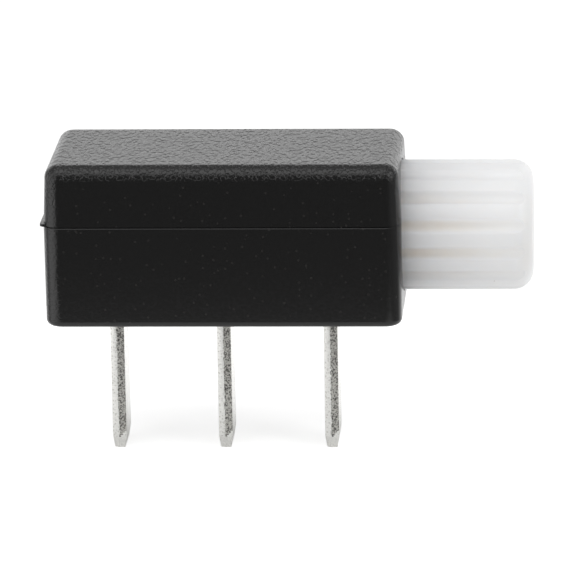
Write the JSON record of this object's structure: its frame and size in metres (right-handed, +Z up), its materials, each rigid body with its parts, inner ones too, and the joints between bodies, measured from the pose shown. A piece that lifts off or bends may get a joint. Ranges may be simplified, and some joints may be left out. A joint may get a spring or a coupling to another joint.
{
  "type": "slide switch",
  "caption": "Small grained-plastic slide switch with a fluted push-pull plunger at one end and in-line blade terminals underneath.",
  "frame": {"origin": "centre of the housing's underside, the seating face", "axes": "+X out along the plunger, +Z up from the seating face, Y across the housing"},
  "size_m": [0.0275, 0.01, 0.0174],
  "materials": {
    "black_housing": "fine spark-eroded grain",
    "white_plunger": "smooth natural moulding, slightly translucent",
    "tinned_terminal": "bright tin plate, sheared edges",
    "contact_bronze": "rolled strip",
    "spring_steel": "drawn and rolled spring steel"
  },
  "bodies": {
    "housing": {"base": "black_housing", "cover": "black_housing", "terminal_front": "tinned_terminal", "terminal_common": "tinned_terminal", "terminal_rear": "tinned_terminal", "detent_spring": "spring_steel"},
    "plunger": {"slider": "white_plunger", "bridge_contact": "contact_bronze", "contact_spring": "spring_steel"}
  },
  "joints": [
    {"name": "plunger_slide", "type": "slide", "parent": "housing", "child": "plunger", "axis": [1, 0, 0], "range_m": [-0.003, 0], "deforming": ["detent_spring"]}
  ]
}
